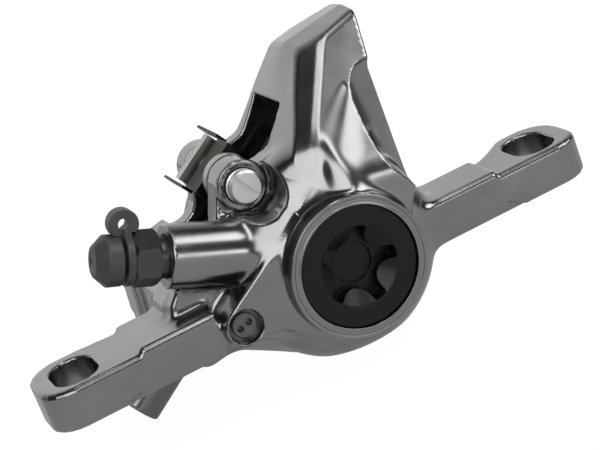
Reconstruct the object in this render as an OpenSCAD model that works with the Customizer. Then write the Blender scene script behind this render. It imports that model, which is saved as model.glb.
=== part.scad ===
// Two-piston hydraulic disc brake caliper for a bicycle, post mount
// Millimetres. X runs along the mounting arms, Y from the outboard face inwards, Z along the bolts.
// The origin is midway between the two mounting slots, on the seats under the bolt heads.

/* [Mounting arms] */
// Distance between the two mounting slots
post_spacing = 74; // [72:1:76]
// Width of a mounting slot, for an M6 bolt
slot_width = 6.4; // [6.2:0.1:6.8]
// Length of a mounting slot, across the caliper
slot_length = 9.4; // [8.5:0.1:10]
// Thickness of an arm under a bolt head
arm_thickness = 6; // [5:0.1:6]
// Width of the round end of an arm
arm_width = 13.5; // [12.5:0.1:13.5]

/* [Disc space] */
// Distance from the mounting slots to the middle plane of the disc
disc_offset = 9.8; // [9.8:0.1:10.2]
// Width of the space for the disc and the two pads
disc_space = 10.4; // [10.4:0.1:10.8]
// Outer radius of the disc that the caliper is made for
disc_radius = 80; // [79:1:80]

/* [Pistons] */
// Diameter of a piston
piston_d = 22; // [21:0.1:22]
// Length of a piston
piston_length = 9.6; // [9.2:0.1:10]
// Diameter of the bore cap
cap_d = 17.3; // [16.5:0.1:17.4]

/* [Pads] */
// Thickness of a pad's metal plate
plate_t = 1.6; // [1.2:0.1:1.8]
// Thickness of a pad's friction lining
lining_t = 2; // [1:0.1:2]
// Diameter of the axle that the pads hang on
axle_d = 3.5; // [3:0.1:3.6]

/* [Bleed nipple] */
// Width across the flats of the nipple's hexagon
nipple_hex = 7; // [6:0.1:7.2]
// Outer diameter of the rubber cap
rubber_d = 7.2; // [6.6:0.1:7.4]

/* [Hidden] */
$fn = 64;

// Clearance on a radius: between pieces that move, and between pieces that are screwed or pushed in
running = 0.05;
seated = 0.03;
slot_y1 = disc_offset - disc_space / 2;
slot_y2 = disc_offset + disc_space / 2;

// Bore axis, front ring plane and disc centre, seen along Y
bore = [3.05, -0.9];
ring_y = -11.5;
ring_r = 10.15;
cap_y = ring_y + 0.35;
bore_r = piston_d / 2 + running;
bore_spare = 0.7;
bore_end = slot_y1 - piston_length - bore_spare;
boss_r = piston_d / 2 + 4.1;
radial = 122.5;
disc_edge = 10.5;
disc_centre = bore - polar(disc_radius - disc_edge, radial);
disc_clear = disc_radius + 1.6;

// Pad axle
axle_out = piston_d / 2 + 5.42;
ear_x = 0.56;
axle_at = bore + polar(axle_out, radial) + polar(ear_x, radial - 90);
axle_boss_r = 3.6;
axle_room = axle_boss_r + 0.7;
axle_head_r = 2.47;
head_y = -1.8;
head_seat_y = 1;
rear_boss_y = 18.8;
wall_y = 0.6;

// Nipple: the axis runs down from the body's left, 22 degrees above level
nipple_tilt = 22;
nipple_y = -2.5;
nipple_at = [-19.8, 9.85];
nipple_boss_r = 4.5;
nipple_thread_r = 3;
nipple_depth = 7;
channel_r = 1.2;

// Plugged port on the front web
web_y = -8;
port_at = [-14, -2.65];
port_r = 2.4;
port_depth = 4.4;

// Hose port: the axis points at the inner bore
hose_at = [-28.2, -17];
hose_y = 19.8;
hose_tilt = 34;
hose_r = 3.9;
hose_thread_r = 2.5;
hose_depth = 8;

function unit(v) = v / norm(v);
function polar(r, a) = [r * cos(a), r * sin(a)];

// Extrudes a shape drawn in X and Z from y0 to y1
module along_y(y0, y1) {
    translate([0, y1, 0])
        rotate([90, 0, 0])
            linear_extrude(y1 - y0)
                children();
}

// Cylinder along Y at the X and Z of at
module rod_y(at, r, y0, y1) {
    along_y(y0, y1)
        translate(at)
            circle(r = r);
}

// Solid of revolution round a Y axis; the profile is drawn as [radius, y]
module turned_y(at) {
    translate([at[0], 0, at[1]])
        rotate([-90, 0, 0])
            rotate_extrude()
                children();
}

// Everything on the inner side of the plane through three points, away from the given side
module behind_plane(a, b, c, outside) {
    raw = unit(cross(b - a, c - a));
    n = raw * outside > 0 ? raw : -raw;
    translate(a)
        rotate([0, acos(n[2]), atan2(n[1], n[0])])
            translate([-90, -90, -180])
                cube(180);
}

// Points of an arc, from angle a0 to a1 in steps of about 12 degrees
function arc(c, r, a0, a1) =
    let (n = max(2, ceil(abs(a1 - a0) / 12)))
    [for (i = [0 : n]) c + polar(r, a0 + (a1 - a0) * i / n)];

// Caliper body

// Corners of the fin: the upper edge, its middle line and the two ridges down the front
fin_l = [9.45, slot_y1, 26.1];
fin_m = [14.1, 3.7, 26.8];
fin_r = [20.2, 5.6, 28.2];
fin_ridge = [4.15, -6.4, 15.6];
fin_side = [5.45, disc_offset, 21.3];
fin_foot = [1.5, -2.8, 17.7];
fin_crown_l = [9.1, disc_offset, 26.45];
fin_crown_r = [19.5, disc_offset, 28.85];
fin_rear_foot = [14, 1.2, 16];
fin_rear_side = [2.5, 2.1, 17];
fin_right = 18.2;
fin_front = -9.7;
fin_back = 9.1;

// The inboard half's copy of its children, mirrored in the disc's middle plane
module inboard() {
    translate([0, 2 * disc_offset, 0])
        mirror([0, 1, 0])
            children();
}

// Outline of the fin seen along Y, with its hollow curve down to the axle boss
module fin_outline() {
    polygon(concat(
        [[fin_right, 0], [fin_right, 20.6], [20.5, 26.8], [20.9, 28.5], [20.2, 30]],
        [[8, 28], [fin_l[0] - 0.4, fin_l[2]], [5.5, 21], [4.3, 19.2], [3.1, 17.7], [2, 16.4]],
        [[1.1, 15.5], [0, 15.05], [-1.2, 15], [-2.4, 15.5], [-3.2, 16.3]],
        [[-5.3, 5.9], [-5.3, 0]]));
}

module fin_solid() {
    intersection() {
        along_y(fin_front, 2 * disc_offset - slot_y1 + fin_back)
            fin_outline();
        behind_plane(fin_l, fin_m, fin_ridge, [0, -1, 0]);
        behind_plane(fin_m, fin_r, fin_ridge, [0, -1, 0]);
        behind_plane(fin_l, fin_m, fin_crown_l, [0, 0, 1]);
        behind_plane(fin_m, fin_r, fin_crown_r, [0, 0, 1]);
        behind_plane(fin_l, fin_foot, fin_side, [-1, 0, 0]);
        inboard()
            behind_plane(fin_l, fin_m, fin_crown_l, [0, 0, 1]);
        inboard()
            behind_plane(fin_m, fin_r, fin_crown_r, [0, 0, 1]);
        inboard()
            behind_plane(fin_l, fin_foot, fin_side, [-1, 0, 0]);
        inboard()
            behind_plane(fin_m, fin_r, fin_rear_foot, [0, -1, 0]);
        inboard()
            behind_plane(fin_l, fin_m, fin_rear_side, [0, -1, 0]);
    }
}

// Recess on the right of the fin, and the rib beside it that rises from the bore boss
rib_edge = [[13.7, 19.6], [13.2, 18.6], [12.9, 17], [12.6, 14.8], [12.4, 12.2], [12.7, 10.2], [13.4, 8.6],
    [14.4, 7], [15.2, 5.5]];

module fin_pocket() {
    along_y(-20, 1)
        polygon(concat(
            [[24, 1], [24, 22.5], [18.4, 22.2], [17.3, 22.05], [16.3, 21.8], [15.3, 21.25], [14.4, 20.4]],
            rib_edge));
}

// Rib from the bore boss up to the middle of the fin
module fin_rib() {
    intersection() {
        hull() {
            turned_y(bore + polar(2.3, 75))
                polygon([[0, -10.4], [9.4, -10.4], [10.4, -9.5], [10.4, 0], [0, 0]], $fn = 32);
            along_y(-1.9, 3)
                polygon([[12, 20.4], [14.2, 20.4], [13.4, 15.5], [13.2, 12], [9, 17]]);
        }
        along_y(-20, 20)
            polygon(concat([[-6, 9], [13.5, 22.5]], rib_edge, [[24, -2], [-20, -10]]));
    }
}

module front_boss() {
    turned_y(bore)
        polygon([[0, ring_y], [ring_r - 0.2, ring_y], [ring_r, ring_y + 0.2], [ring_r + 0.05, -9.4],
            [ring_r + 0.4, -8.7], [boss_r - 3.7, -7.9], [boss_r - 2.3, -6.9], [boss_r - 1.1, -5.4],
            [boss_r - 0.3, -3.5], [boss_r, -1.2], [boss_r, slot_y1], [0, slot_y1]]);
}

module rear_boss() {
    turned_y(bore)
        polygon([[0, slot_y2], [boss_r, slot_y2], [boss_r, 20.5], [boss_r - 0.5, 22.8], [boss_r - 1.8, 25],
            [boss_r - 3.8, 26.6], [boss_r - 5.6, 27], [0, 27]]);
}

// Mounting arms: front face, reach beyond the slot's middle, and where the bolt seat ends in a small step
arm_front = 0.5 - arm_width / 2;
arm_back = arm_front + arm_width;
arm_end = 6.1;
seat_x = 28.8;
step_h = 1;
relief_y = -4.8;

// Front wall beside the bore, down to the arm roots
module front_wall() {
    along_y(wall_y, slot_y1)
        polygon(concat(
            [[fin_right, 2.2], [fin_right, -1], [14, -9]],
            [[1.7, -16.2], [-6.8, -12.3], [-14.2, -8.1], [-19, -5.6], [-22.6, -4.6], [-22.6, 2]],
            [[-15.5, 5.5], [-12, 6.1], [-8.6, 14.6], axle_at, [0, 15.2], [10, 15]]));
}

// Flat web in front, from the bore boss out to the plugged port
module front_web() {
    along_y(web_y, 0)
        polygon(concat(
            [[-1.8, 8.5], [-5, 6.4], [-8.1, 4.5], [-11.6, 2.4], [-13.7, 1.1]],
            arc(port_at, 2.95, 122, 250),
            [[-13.8, -5.5], [-11.5, -5.2], [-9.7, -5.5], [-8.3, -6.1], [-6.7, -7.4], [-4.9, -9.1]],
            [[-3.1, -10.4], [-1.1, -11.2], [1, -6], [1, 6]]));
}

// Slope from the web's lower edge back to the underside
module front_slope() {
    intersection() {
        along_y(-6.2, slot_y1)
            polygon([[-17, -3], [-19, -5.6], [-14.2, -8.1], [-6.8, -12.3], [1.7, -16.2], [3, -8], [-5, -4]]);
        behind_plane([-13.8, -6, -5.5], [-1.1, -6, -11.3], [-8, 0.3, -11.9], [0, -1, 0]);
    }
}

// Rear wall, which follows the front wall's outline with a hollow curve below the axle boss
module rear_wall() {
    along_y(slot_y2, rear_boss_y - 1)
        polygon(concat(
            [[16.5, 0], [14, -9], [1.7, -16.2], [-6.8, -12.3], [-14.2, -8.1], [-20, -7]],
            [[-23.2, -4.5], [-22.5, 2.5], [-20, 5], [-12.6, 7], [-11.2, 7.3], [-9.9, 8], [-9.1, 9.2]],
            [[-8.8, 10.5], [-9, 12.3]],
            [axle_at, [0, 15.2], [10, 15]]));
}

// Bridge between the halves on the left, beyond the edge of the disc
module left_bridge() {
    along_y(-2.4, rear_boss_y + 5)
        polygon([[-12.4, 6.6], [-20, 5], [-22.5, 2.5], [-23.2, -4.5], [-20.5, -8.2], [-13, -7]]);
}

// One arm along +X with rounded corners, a bolt seat, a waist and a relief under the waist's front
module arm_plan(root_x, waist_back) {
    head_x = post_spacing / 2;
    end_x = head_x + arm_end;
    corner = 3.2;
    polygon(concat(
        [[root_x, arm_front]],
        arc([end_x - corner, arm_front + corner], corner, -90, 0),
        arc([end_x - corner, arm_back - corner], corner, 0, 90),
        [[head_x - 1.8, arm_back], [head_x - 5.2, waist_back + 0.35 * (arm_back - waist_back)]],
        [[head_x - 7.5, waist_back], [root_x, waist_back]]));
}

module arm_profile(root_x) {
    end_x = post_spacing / 2 + arm_end;
    polygon([[root_x, -arm_thickness], [end_x, -arm_thickness], [end_x, 0], [seat_x, 0],
        [seat_x - 0.6, step_h], [root_x, step_h]]);
}

module arm(root_x, waist_back, relief_x, relief_z) {
    difference() {
        intersection() {
            translate([0, 0, -20])
                linear_extrude(40)
                    arm_plan(root_x, waist_back);
            along_y(-20, 20)
                arm_profile(root_x);
        }
        along_y(-20, relief_y)
            polygon([[root_x - 1, relief_z], [relief_x, relief_z], [relief_x + 2.6, -5.2],
                [relief_x + 3.4, -5.6], [relief_x + 4, -7], [root_x - 1, -7]]);
    }
}

module arms() {
    arm(11, 2.8, 27.6, -3.6);
    mirror([1, 0, 0])
        arm(17, 6.5, 28.6, -4.3);
}

module slot_cut(x) {
    translate([x, 0, -arm_thickness - 1])
        linear_extrude(arm_thickness + 4)
            for (s = [-1, 1])
                translate([0, s * (slot_length - slot_width) / 2])
                    circle(d = slot_width);
    translate([x - slot_width / 2, -(slot_length - slot_width) / 2, -arm_thickness - 1])
        cube([slot_width, slot_length - slot_width, arm_thickness + 4]);
}

// Round boss whose axis lies in X and Z, from the point at towards the body
module tilted_rod(at, y, tilt, r, from, to) {
    translate([at[0], y, at[1]])
        rotate([0, 90 + tilt, 0])
            translate([0, 0, from])
                cylinder(r = r, h = to - from);
}

module axle_bosses() {
    rod_y(axle_at, axle_boss_r, 0, slot_y1);
    rod_y(axle_at, axle_boss_r, slot_y2, rear_boss_y);
}

// Space for the disc, and for the pads between the two bridges
module disc_and_pad_space() {
    intersection() {
        rod_y(disc_centre, disc_clear, slot_y1, slot_y2, $fn = 128);
        translate([-24, 0, -40])
            cube([51, 40, 80]);
    }
    along_y(slot_y1, slot_y2)
        translate(bore)
            rotate(radial - 90)
                translate([-12.9, -30])
                    square([26.2, 70]);
}

// Piston seals: depth from the disc space, half width and height of the square section
seal_in = 3.4;
seal_y1 = slot_y1 - seal_in;
seal_y2 = slot_y2 + seal_in;
seal_half = 1.05;
seal_h = 1.5;

module piston_bore(y0, y1, seal_y) {
    rod_y(bore, bore_r, y0, y1);
    rod_y(bore, bore_r + seal_h + running, seal_y - seal_half - running, seal_y + seal_half + running);
}

module caliper_body() {
    color("dimgray")
        difference() {
            union() {
                difference() {
                    union() {
                        difference() {
                            union() {
                                fin_solid();
                                front_wall();
                            }
                            fin_pocket();
                        }
                        fin_rib();
                        front_boss();
                        front_web();
                        front_slope();
                        rear_boss();
                        rear_wall();
                    }
                    rod_y(axle_at, axle_room, ring_y - 1, wall_y);
                    rod_y(axle_at, axle_room, rear_boss_y, 40);
                }
                axle_bosses();
                left_bridge();
                arms();
                tilted_rod(nipple_at, nipple_y, nipple_tilt, nipple_boss_r, 0, 13);
                tilted_rod(hose_at, hose_y, -hose_tilt, hose_r, 0, 26);
            }
            disc_and_pad_space();
            piston_bore(bore_end, slot_y1 + 1, seal_y1);
            piston_bore(slot_y2 - 1, slot_y2 + piston_length + bore_spare, seal_y2);
            rod_y(bore, cap_d / 2 + seated, ring_y - 1, bore_end + 1);
            rod_y(axle_at, axle_d / 2 + running, -3, rear_boss_y + 3);
            rod_y(axle_at, axle_head_r + 0.12, -3, head_seat_y);
            for (s = [-1, 1])
                slot_cut(s * post_spacing / 2);
            tilted_rod(nipple_at, nipple_y, nipple_tilt, nipple_thread_r + running, -1, nipple_depth);
            tilted_rod(nipple_at, nipple_y, nipple_tilt, channel_r, nipple_depth - 1, 14);
            rod_y(port_at, port_r + seated, web_y - 1, web_y + port_depth);
            tilted_rod(hose_at, hose_y, -hose_tilt, hose_thread_r, -1, hose_depth);
            tilted_rod(hose_at, hose_y, -hose_tilt, channel_r, hose_depth - 1, 24);
        }
}

// Bore cap, its star socket and its seal
star_r = 5.65;
star_depth = 2.75;
groove_r = cap_d / 2 - 1.2;
groove_y = cap_y + 1.9;
groove_w = 1.4;

// Five lobes, left by five round bumps that reach in from the rim
module star_socket() {
    bump_r = 2.5;
    difference() {
        circle(r = star_r);
        for (i = [0 : 4])
            rotate(72 * i + 33)
                translate([star_r + 0.2, 0])
                    circle(r = bump_r);
    }
}

module bore_cap() {
    r = cap_d / 2;
    color("#1c1c1e")
        difference() {
            turned_y(bore)
                polygon([[0, cap_y], [r - 0.35, cap_y], [r, cap_y + 0.35], [r, groove_y], [groove_r, groove_y],
                    [groove_r, groove_y + groove_w], [r, groove_y + groove_w], [r, bore_end + 0.3],
                    [0, bore_end + 0.3]]);
            along_y(cap_y - 1, cap_y + star_depth)
                translate(bore)
                    star_socket();
            turned_y(bore)
                polygon([[0, cap_y - 0.1], [star_r + 0.15, cap_y - 0.1], [star_r + 0.1, cap_y],
                    [3.2, cap_y + 1.3], [0, cap_y + 1.3]]);
        }
}

module ring_y_axis(at, r_in, r_out, y0, y1) {
    turned_y(at)
        translate([r_in, y0])
            square([r_out - r_in, y1 - y0]);
}

module bore_cap_seal() {
    color("#101010")
        ring_y_axis(bore, groove_r, cap_d / 2 + seated, groove_y + 0.1, groove_y + groove_w - 0.1);
}

// Pistons are cups, open to the pad; an insulator ring sits in each mouth
piston_wall = 2.6;
piston_floor = 2.4;
face_gap = 0.15;
outer_face = slot_y1 + face_gap;
inner_face = slot_y2 - face_gap;

// Cup whose mouth is at face_y and whose floor lies inward of it, towards +Y or -Y
module piston(face_y, inward) {
    translate([0, face_y, 0])
        mirror([0, inward > 0 ? 0 : 1, 0])
            difference() {
                rod_y(bore, piston_d / 2, 0, piston_length);
                rod_y(bore, piston_d / 2 - piston_wall, -1, piston_length - piston_floor);
            }
}

module outer_piston() {
    color("#d9d6cf")
        piston(outer_face, -1);
}

module inner_piston() {
    color("#d9d6cf")
        piston(inner_face, 1);
}

insulator_hole_r = 5.6;
insulator_in = 0.4;
insulator_t = 2.6;

module outer_piston_insulator() {
    color("#b9b4a8")
        ring_y_axis(bore, insulator_hole_r, piston_d / 2 - piston_wall,
            outer_face - insulator_in - insulator_t, outer_face - insulator_in);
}

module inner_piston_insulator() {
    color("#b9b4a8")
        ring_y_axis(bore, insulator_hole_r, piston_d / 2 - piston_wall,
            inner_face + insulator_in, inner_face + insulator_in + insulator_t);
}

module outer_piston_seal() {
    color("#161616")
        ring_y_axis(bore, bore_r, bore_r + seal_h, seal_y1 - seal_half, seal_y1 + seal_half);
}

module inner_piston_seal() {
    color("#161616")
        ring_y_axis(bore, bore_r, bore_r + seal_h, seal_y2 - seal_half, seal_y2 + seal_half);
}

// Pads, drawn in the radial frame of the disc: first value along the disc's edge, second outwards
pad_half = 11;
pad_low = -9.4;
pad_high = 8.6;
ear_half = 3.8;
ear_beyond = 3.4;
eye_neck = 3;
lining_half = pad_half - 1.6;
lining_low = pad_low + 0.8;
lining_high = pad_high - 0.6;

module pad_frame() {
    translate(bore)
        rotate(radial - 90)
            children();
}

module pad_outline(half, low, high, corner) {
    hull()
        for (x = [-1, 1], y = [low + corner, high - corner])
            translate([x * (half - corner), y])
                circle(r = corner, $fn = 32);
}

module axle_hole(y0, y1) {
    rod_y(axle_at, axle_d / 2 + running, y0, y1);
}

// Backs of the plates, 0.1 mm from the pistons' faces
outer_back = outer_face + 0.1;
inner_back = inner_face - 0.1;

module outer_pad_plate() {
    color("#8f8b84")
        difference() {
            along_y(outer_back, outer_back + plate_t) {
                pad_frame() {
                    pad_outline(pad_half, pad_low, pad_high, 2.2);
                    translate([ear_x - eye_neck, 6])
                        square([2 * eye_neck, axle_out - 6]);
                }
                translate(axle_at)
                    circle(r = axle_boss_r);
            }
            axle_hole(outer_back - 1, outer_back + plate_t + 1);
        }
}

module inner_pad_plate() {
    color("#8f8b84")
        difference() {
            along_y(inner_back - plate_t, inner_back)
                pad_frame() {
                    pad_outline(pad_half, pad_low, pad_high, 2.2);
                    translate([ear_x - ear_half, 6])
                        square([2 * ear_half, axle_out + ear_beyond - 6]);
                }
            axle_hole(inner_back - plate_t - 1, inner_back + 1);
        }
}

module lining(y0) {
    groove_half = 0.5;
    along_y(y0, y0 + lining_t)
        pad_frame()
            difference() {
                pad_outline(lining_half, lining_low, lining_high, 1.8);
                translate([-groove_half, lining_low - 1])
                    square([2 * groove_half, lining_high - lining_low + 2]);
            }
}

module outer_pad_lining() {
    color("#4d4844")
        lining(outer_back + plate_t);
}

module inner_pad_lining() {
    color("#4d4844")
        lining(inner_back - plate_t - lining_t);
}

// Spring of bent sheet: two side plates on the axle with legs beside the linings, a bridge over the axle
// that joins them, and two tabs that run back past the inner pad's ear
spring_t = 0.4;
spring_travel = 1.15;
spring_y1 = outer_back + plate_t + spring_travel;
spring_y2 = inner_back - plate_t - spring_travel;
spring_foot = disc_edge + 0.6;
leg_w = 1.1;
leg_x = pad_half - 0.15;
bridge_out = axle_out + axle_d / 2 + 0.15;
tab_x = ear_half + 0.4;

module spring_side(y0) {
    along_y(y0, y0 + spring_t)
        pad_frame() {
            translate([ear_x - tab_x, spring_foot])
                square([2 * tab_x, bridge_out + spring_t - spring_foot]);
            translate([-leg_x, spring_foot])
                square([2 * leg_x, leg_w]);
            for (x = [-leg_x, leg_x - leg_w])
                translate([x, 0])
                    square([leg_w, spring_foot + leg_w]);
        }
}

module pad_spring() {
    color("#151515")
        difference() {
            union() {
                spring_side(spring_y1);
                spring_side(spring_y2 - spring_t);
                along_y(spring_y1, spring_y2)
                    pad_frame()
                        translate([ear_x - tab_x, bridge_out])
                            square([2 * tab_x, spring_t]);
                along_y(spring_y2 - spring_t, rear_boss_y + 1.4)
                    pad_frame()
                        for (x = [ear_x - tab_x - spring_t, ear_x + tab_x])
                            translate([x, bridge_out + spring_t - 1.2])
                                square([spring_t, 1.8]);
            }
            axle_hole(spring_y1 - 1, spring_y2 + 1);
        }
}

// Pad axle with a slotted head, and the clip on its far end
axle_end = rear_boss_y + 1.5;
clip_y = rear_boss_y + 0.35;

module pad_axle() {
    neck = axle_head_r - 0.35;
    groove = axle_d / 2 - 0.4;
    color("#d0d2d4")
        difference() {
            turned_y(axle_at)
                polygon([[0, head_y], [neck, head_y], [axle_head_r, head_y + 0.35], [axle_head_r, head_y + 0.9],
                    [neck, head_y + 1.05], [neck, head_y + 1.45], [axle_head_r, head_y + 1.6],
                    [axle_head_r, head_seat_y - running], [axle_d / 2, head_seat_y - running],
                    [axle_d / 2, clip_y], [groove, clip_y], [groove, clip_y + 0.6], [axle_d / 2, clip_y + 0.6],
                    [axle_d / 2, axle_end - 0.3], [axle_d / 2 - 0.3, axle_end], [0, axle_end]]);
            along_y(head_y - 0.2, head_y + 0.9)
                translate(axle_at)
                    rotate(-56)
                        square([8, 0.8], center = true);
        }
}

module pad_axle_clip() {
    color("#2a2a2c")
        difference() {
            ring_y_axis(axle_at, axle_d / 2 - 0.38, axle_d / 2 + 0.9, clip_y + 0.05, clip_y + 0.55);
            along_y(clip_y - 1, clip_y + 2)
                translate(axle_at + [0, -3])
                    square([1.4, 6], center = true);
        }
}

inner_ring_t = 0.2;

module inner_axle_ring() {
    color("#cfc9bb")
        ring_y_axis(axle_at, axle_d / 2 + running, axle_boss_r, slot_y2 - inner_ring_t, slot_y2);
}

// Bleed nipple, its rubber cap and the cap's strap
module nipple_frame() {
    translate([nipple_at[0], nipple_y, nipple_at[1]])
        rotate([0, -90 + nipple_tilt, 0])
            children();
}

// Distances from the boss's end, outwards along the nipple's axis
hex_from = 1.2;
hex_to = 4.75;
collar_from = 4.8;
collar_to = 5.9;
cap_from = 6.4;
cap_to = 10.1;
barb_r = 2.5;
neck_r = 1.9;
barb_to = 8.8;

module nipple_hexagon() {
    flat = nipple_hex / 2;
    corner = flat / cos(30) + 0.01;
    bevel = 0.4;
    intersection() {
        translate([0, 0, hex_from])
            cylinder(r = flat / cos(30), h = hex_to - hex_from, $fn = 6);
        rotate_extrude()
            polygon([[0, hex_from], [flat + 0.1, hex_from], [corner, hex_from + bevel],
                [corner, hex_to - bevel], [flat + 0.1, hex_to], [0, hex_to]]);
    }
}

module bleed_nipple() {
    tip_from = 0.4 - nipple_depth;
    thread_from = tip_from + 2;
    color("#3a3b3d")
        nipple_frame()
            difference() {
                union() {
                    rotate_extrude()
                        polygon([[0, tip_from], [1.5, tip_from], [nipple_thread_r - 0.4, thread_from],
                            [nipple_thread_r, thread_from + 0.4], [nipple_thread_r, hex_from + 0.5],
                            [neck_r, hex_from + 0.5], [neck_r, barb_to - 1.5], [barb_r, barb_to - 1.5],
                            [neck_r - 0.2, barb_to], [0, barb_to]]);
                    nipple_hexagon();
                }
                translate([0, 0, thread_from + 0.5])
                    cylinder(r = 0.8, h = 20);
            }
}

module bleed_cap() {
    r = rubber_d / 2;
    color("#3c3d40")
        nipple_frame()
            difference() {
                rotate_extrude()
                    polygon([[0, cap_from], [r - 0.2, cap_from], [r, cap_from + 0.2], [r, cap_to - 1.1],
                        [r - 0.3, cap_to - 0.45], [r - 1, cap_to], [0, cap_to]]);
                translate([0, 0, cap_from - 1])
                    cylinder(r = barb_r + running, h = barb_to + 0.15 - cap_from + 1);
            }
}

// The strap: a collar round the nipple's neck and a loop that stands on the collar and over the cap
loop_r = 2.1;
loop_hole_r = 0.75;
loop_w = 2.4;
loop_up = rubber_d / 2 + 1.4;
loop_z = cap_from - 0.55;

module bleed_cap_strap() {
    color("#3c3d40")
        nipple_frame() {
            difference() {
                union() {
                    translate([0, 0, collar_from])
                        cylinder(r = rubber_d / 2 + 0.05, h = collar_to - collar_from);
                    strap_side();
                }
                translate([0, 0, hex_from - 1])
                    cylinder(r = nipple_hex / 2 / cos(30) + 0.05, h = hex_to + 0.05 - hex_from + 1);
                translate([0, 0, collar_from - 1])
                    cylinder(r = neck_r + running, h = 4);
                translate([0, 0, cap_from - 0.1])
                    cylinder(r = rubber_d / 2 + running, h = 8);
            }
        }
}

module strap_side() {
    translate([0, loop_w / 2, 0])
        rotate([90, 0, 0])
            linear_extrude(loop_w)
                difference() {
                    union() {
                        translate([loop_up, loop_z])
                            circle(r = loop_r);
                        translate([neck_r + 0.5, collar_from])
                            square([loop_up - neck_r - 0.5, 2.6]);
                    }
                    translate([loop_up, loop_z])
                        circle(r = loop_hole_r);
                }
}

// Plug in the front web with two key holes, and its seal
plug_neck_r = port_r - 0.7;
plug_seal_y = web_y + 2.4;
plug_head_r = port_r - 0.6;
key_angle = 17.5;

module port_plug() {
    plug_y = web_y + 1;
    color("#4a4a4c")
        difference() {
            turned_y(port_at)
                polygon([[0, plug_y], [plug_head_r - 0.1, plug_y], [plug_head_r, plug_y + 0.1],
                    [plug_head_r, plug_y + 0.8], [port_r, plug_y + 0.8], [port_r, plug_seal_y], [plug_neck_r, plug_seal_y], [plug_neck_r, plug_seal_y + 0.9],
                    [port_r, plug_seal_y + 0.9], [port_r, web_y + port_depth - 0.1],
                    [0, web_y + port_depth - 0.1]]);
            for (s = [-1, 1])
                rod_y(port_at + polar(s * 0.75, key_angle), 0.5, plug_y - 1, plug_y + 1, $fn = 32);
        }
}

module port_plug_seal() {
    color("#101010")
        ring_y_axis(port_at, plug_neck_r, port_r + seated, plug_seal_y + 0.05, plug_seal_y + 0.85);
}

caliper_body();
bore_cap();
bore_cap_seal();
outer_piston();
inner_piston();
outer_piston_insulator();
inner_piston_insulator();
outer_piston_seal();
inner_piston_seal();
outer_pad_plate();
outer_pad_lining();
inner_pad_plate();
inner_pad_lining();
pad_spring();
pad_axle();
pad_axle_clip();
bleed_nipple();
bleed_cap();
bleed_cap_strap();
port_plug();
port_plug_seal();
inner_axle_ring();
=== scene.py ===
"""Looks of a bicycle disc brake caliper: shapes, finishes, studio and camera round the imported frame."""

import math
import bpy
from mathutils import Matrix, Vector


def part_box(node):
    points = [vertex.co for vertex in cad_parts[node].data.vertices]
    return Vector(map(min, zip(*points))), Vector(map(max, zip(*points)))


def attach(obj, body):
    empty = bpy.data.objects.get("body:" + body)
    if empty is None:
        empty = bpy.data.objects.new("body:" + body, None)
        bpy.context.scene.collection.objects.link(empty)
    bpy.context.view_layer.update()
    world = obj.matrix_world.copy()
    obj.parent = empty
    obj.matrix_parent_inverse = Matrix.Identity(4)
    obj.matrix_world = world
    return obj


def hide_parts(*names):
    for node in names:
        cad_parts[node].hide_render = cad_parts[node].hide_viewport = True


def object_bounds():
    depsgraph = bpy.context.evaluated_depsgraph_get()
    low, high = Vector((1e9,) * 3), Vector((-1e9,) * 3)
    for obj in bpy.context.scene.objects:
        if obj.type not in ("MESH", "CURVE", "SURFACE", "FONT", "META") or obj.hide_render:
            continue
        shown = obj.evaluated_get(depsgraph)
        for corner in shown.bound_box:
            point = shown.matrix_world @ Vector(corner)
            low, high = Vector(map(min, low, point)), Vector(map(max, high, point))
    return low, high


bl_info = {
    "name": "Disc brake caliper",
    "version": (1, 0, 0),
    "blender": (4, 5, 0),
    "location": "3D View > Sidebar > Caliper",
    "description": "Builds the surfaces and finishes of a bicycle disc brake caliper",
    "category": "Object",
}

import bpy
import numpy as np
from bpy.props import FloatProperty, FloatVectorProperty, PointerProperty
from bpy.types import Operator, Panel, PropertyGroup
from mathutils import Matrix

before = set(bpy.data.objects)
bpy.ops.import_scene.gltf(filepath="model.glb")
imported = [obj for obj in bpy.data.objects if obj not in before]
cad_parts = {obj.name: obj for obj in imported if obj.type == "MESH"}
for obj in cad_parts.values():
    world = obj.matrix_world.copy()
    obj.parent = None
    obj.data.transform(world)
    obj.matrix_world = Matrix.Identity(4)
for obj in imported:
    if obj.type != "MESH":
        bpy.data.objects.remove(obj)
cad_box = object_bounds()

MM = 0.001
TINY = 1e-9


def node_box(node):
    """Lowest and highest corner of a frame node in millimetres"""
    low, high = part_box(node)
    return np.array(low) / MM, np.array(high) / MM


def node_centre(node):
    """Middle of a frame node's box in millimetres"""
    low, high = node_box(node)
    return (low + high) / 2


# Places in millimetres, read from the frame where a node shows them

BODY_LOW, BODY_HIGH = node_box("caliper_body")
CAP_LOW, CAP_HIGH = node_box("bore_cap")
AXLE_LOW, AXLE_HIGH = node_box("pad_axle")
PLUG_LOW, PLUG_HIGH = node_box("port_plug")
PISTON_LOW, PISTON_HIGH = node_box("outer_piston")

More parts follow.
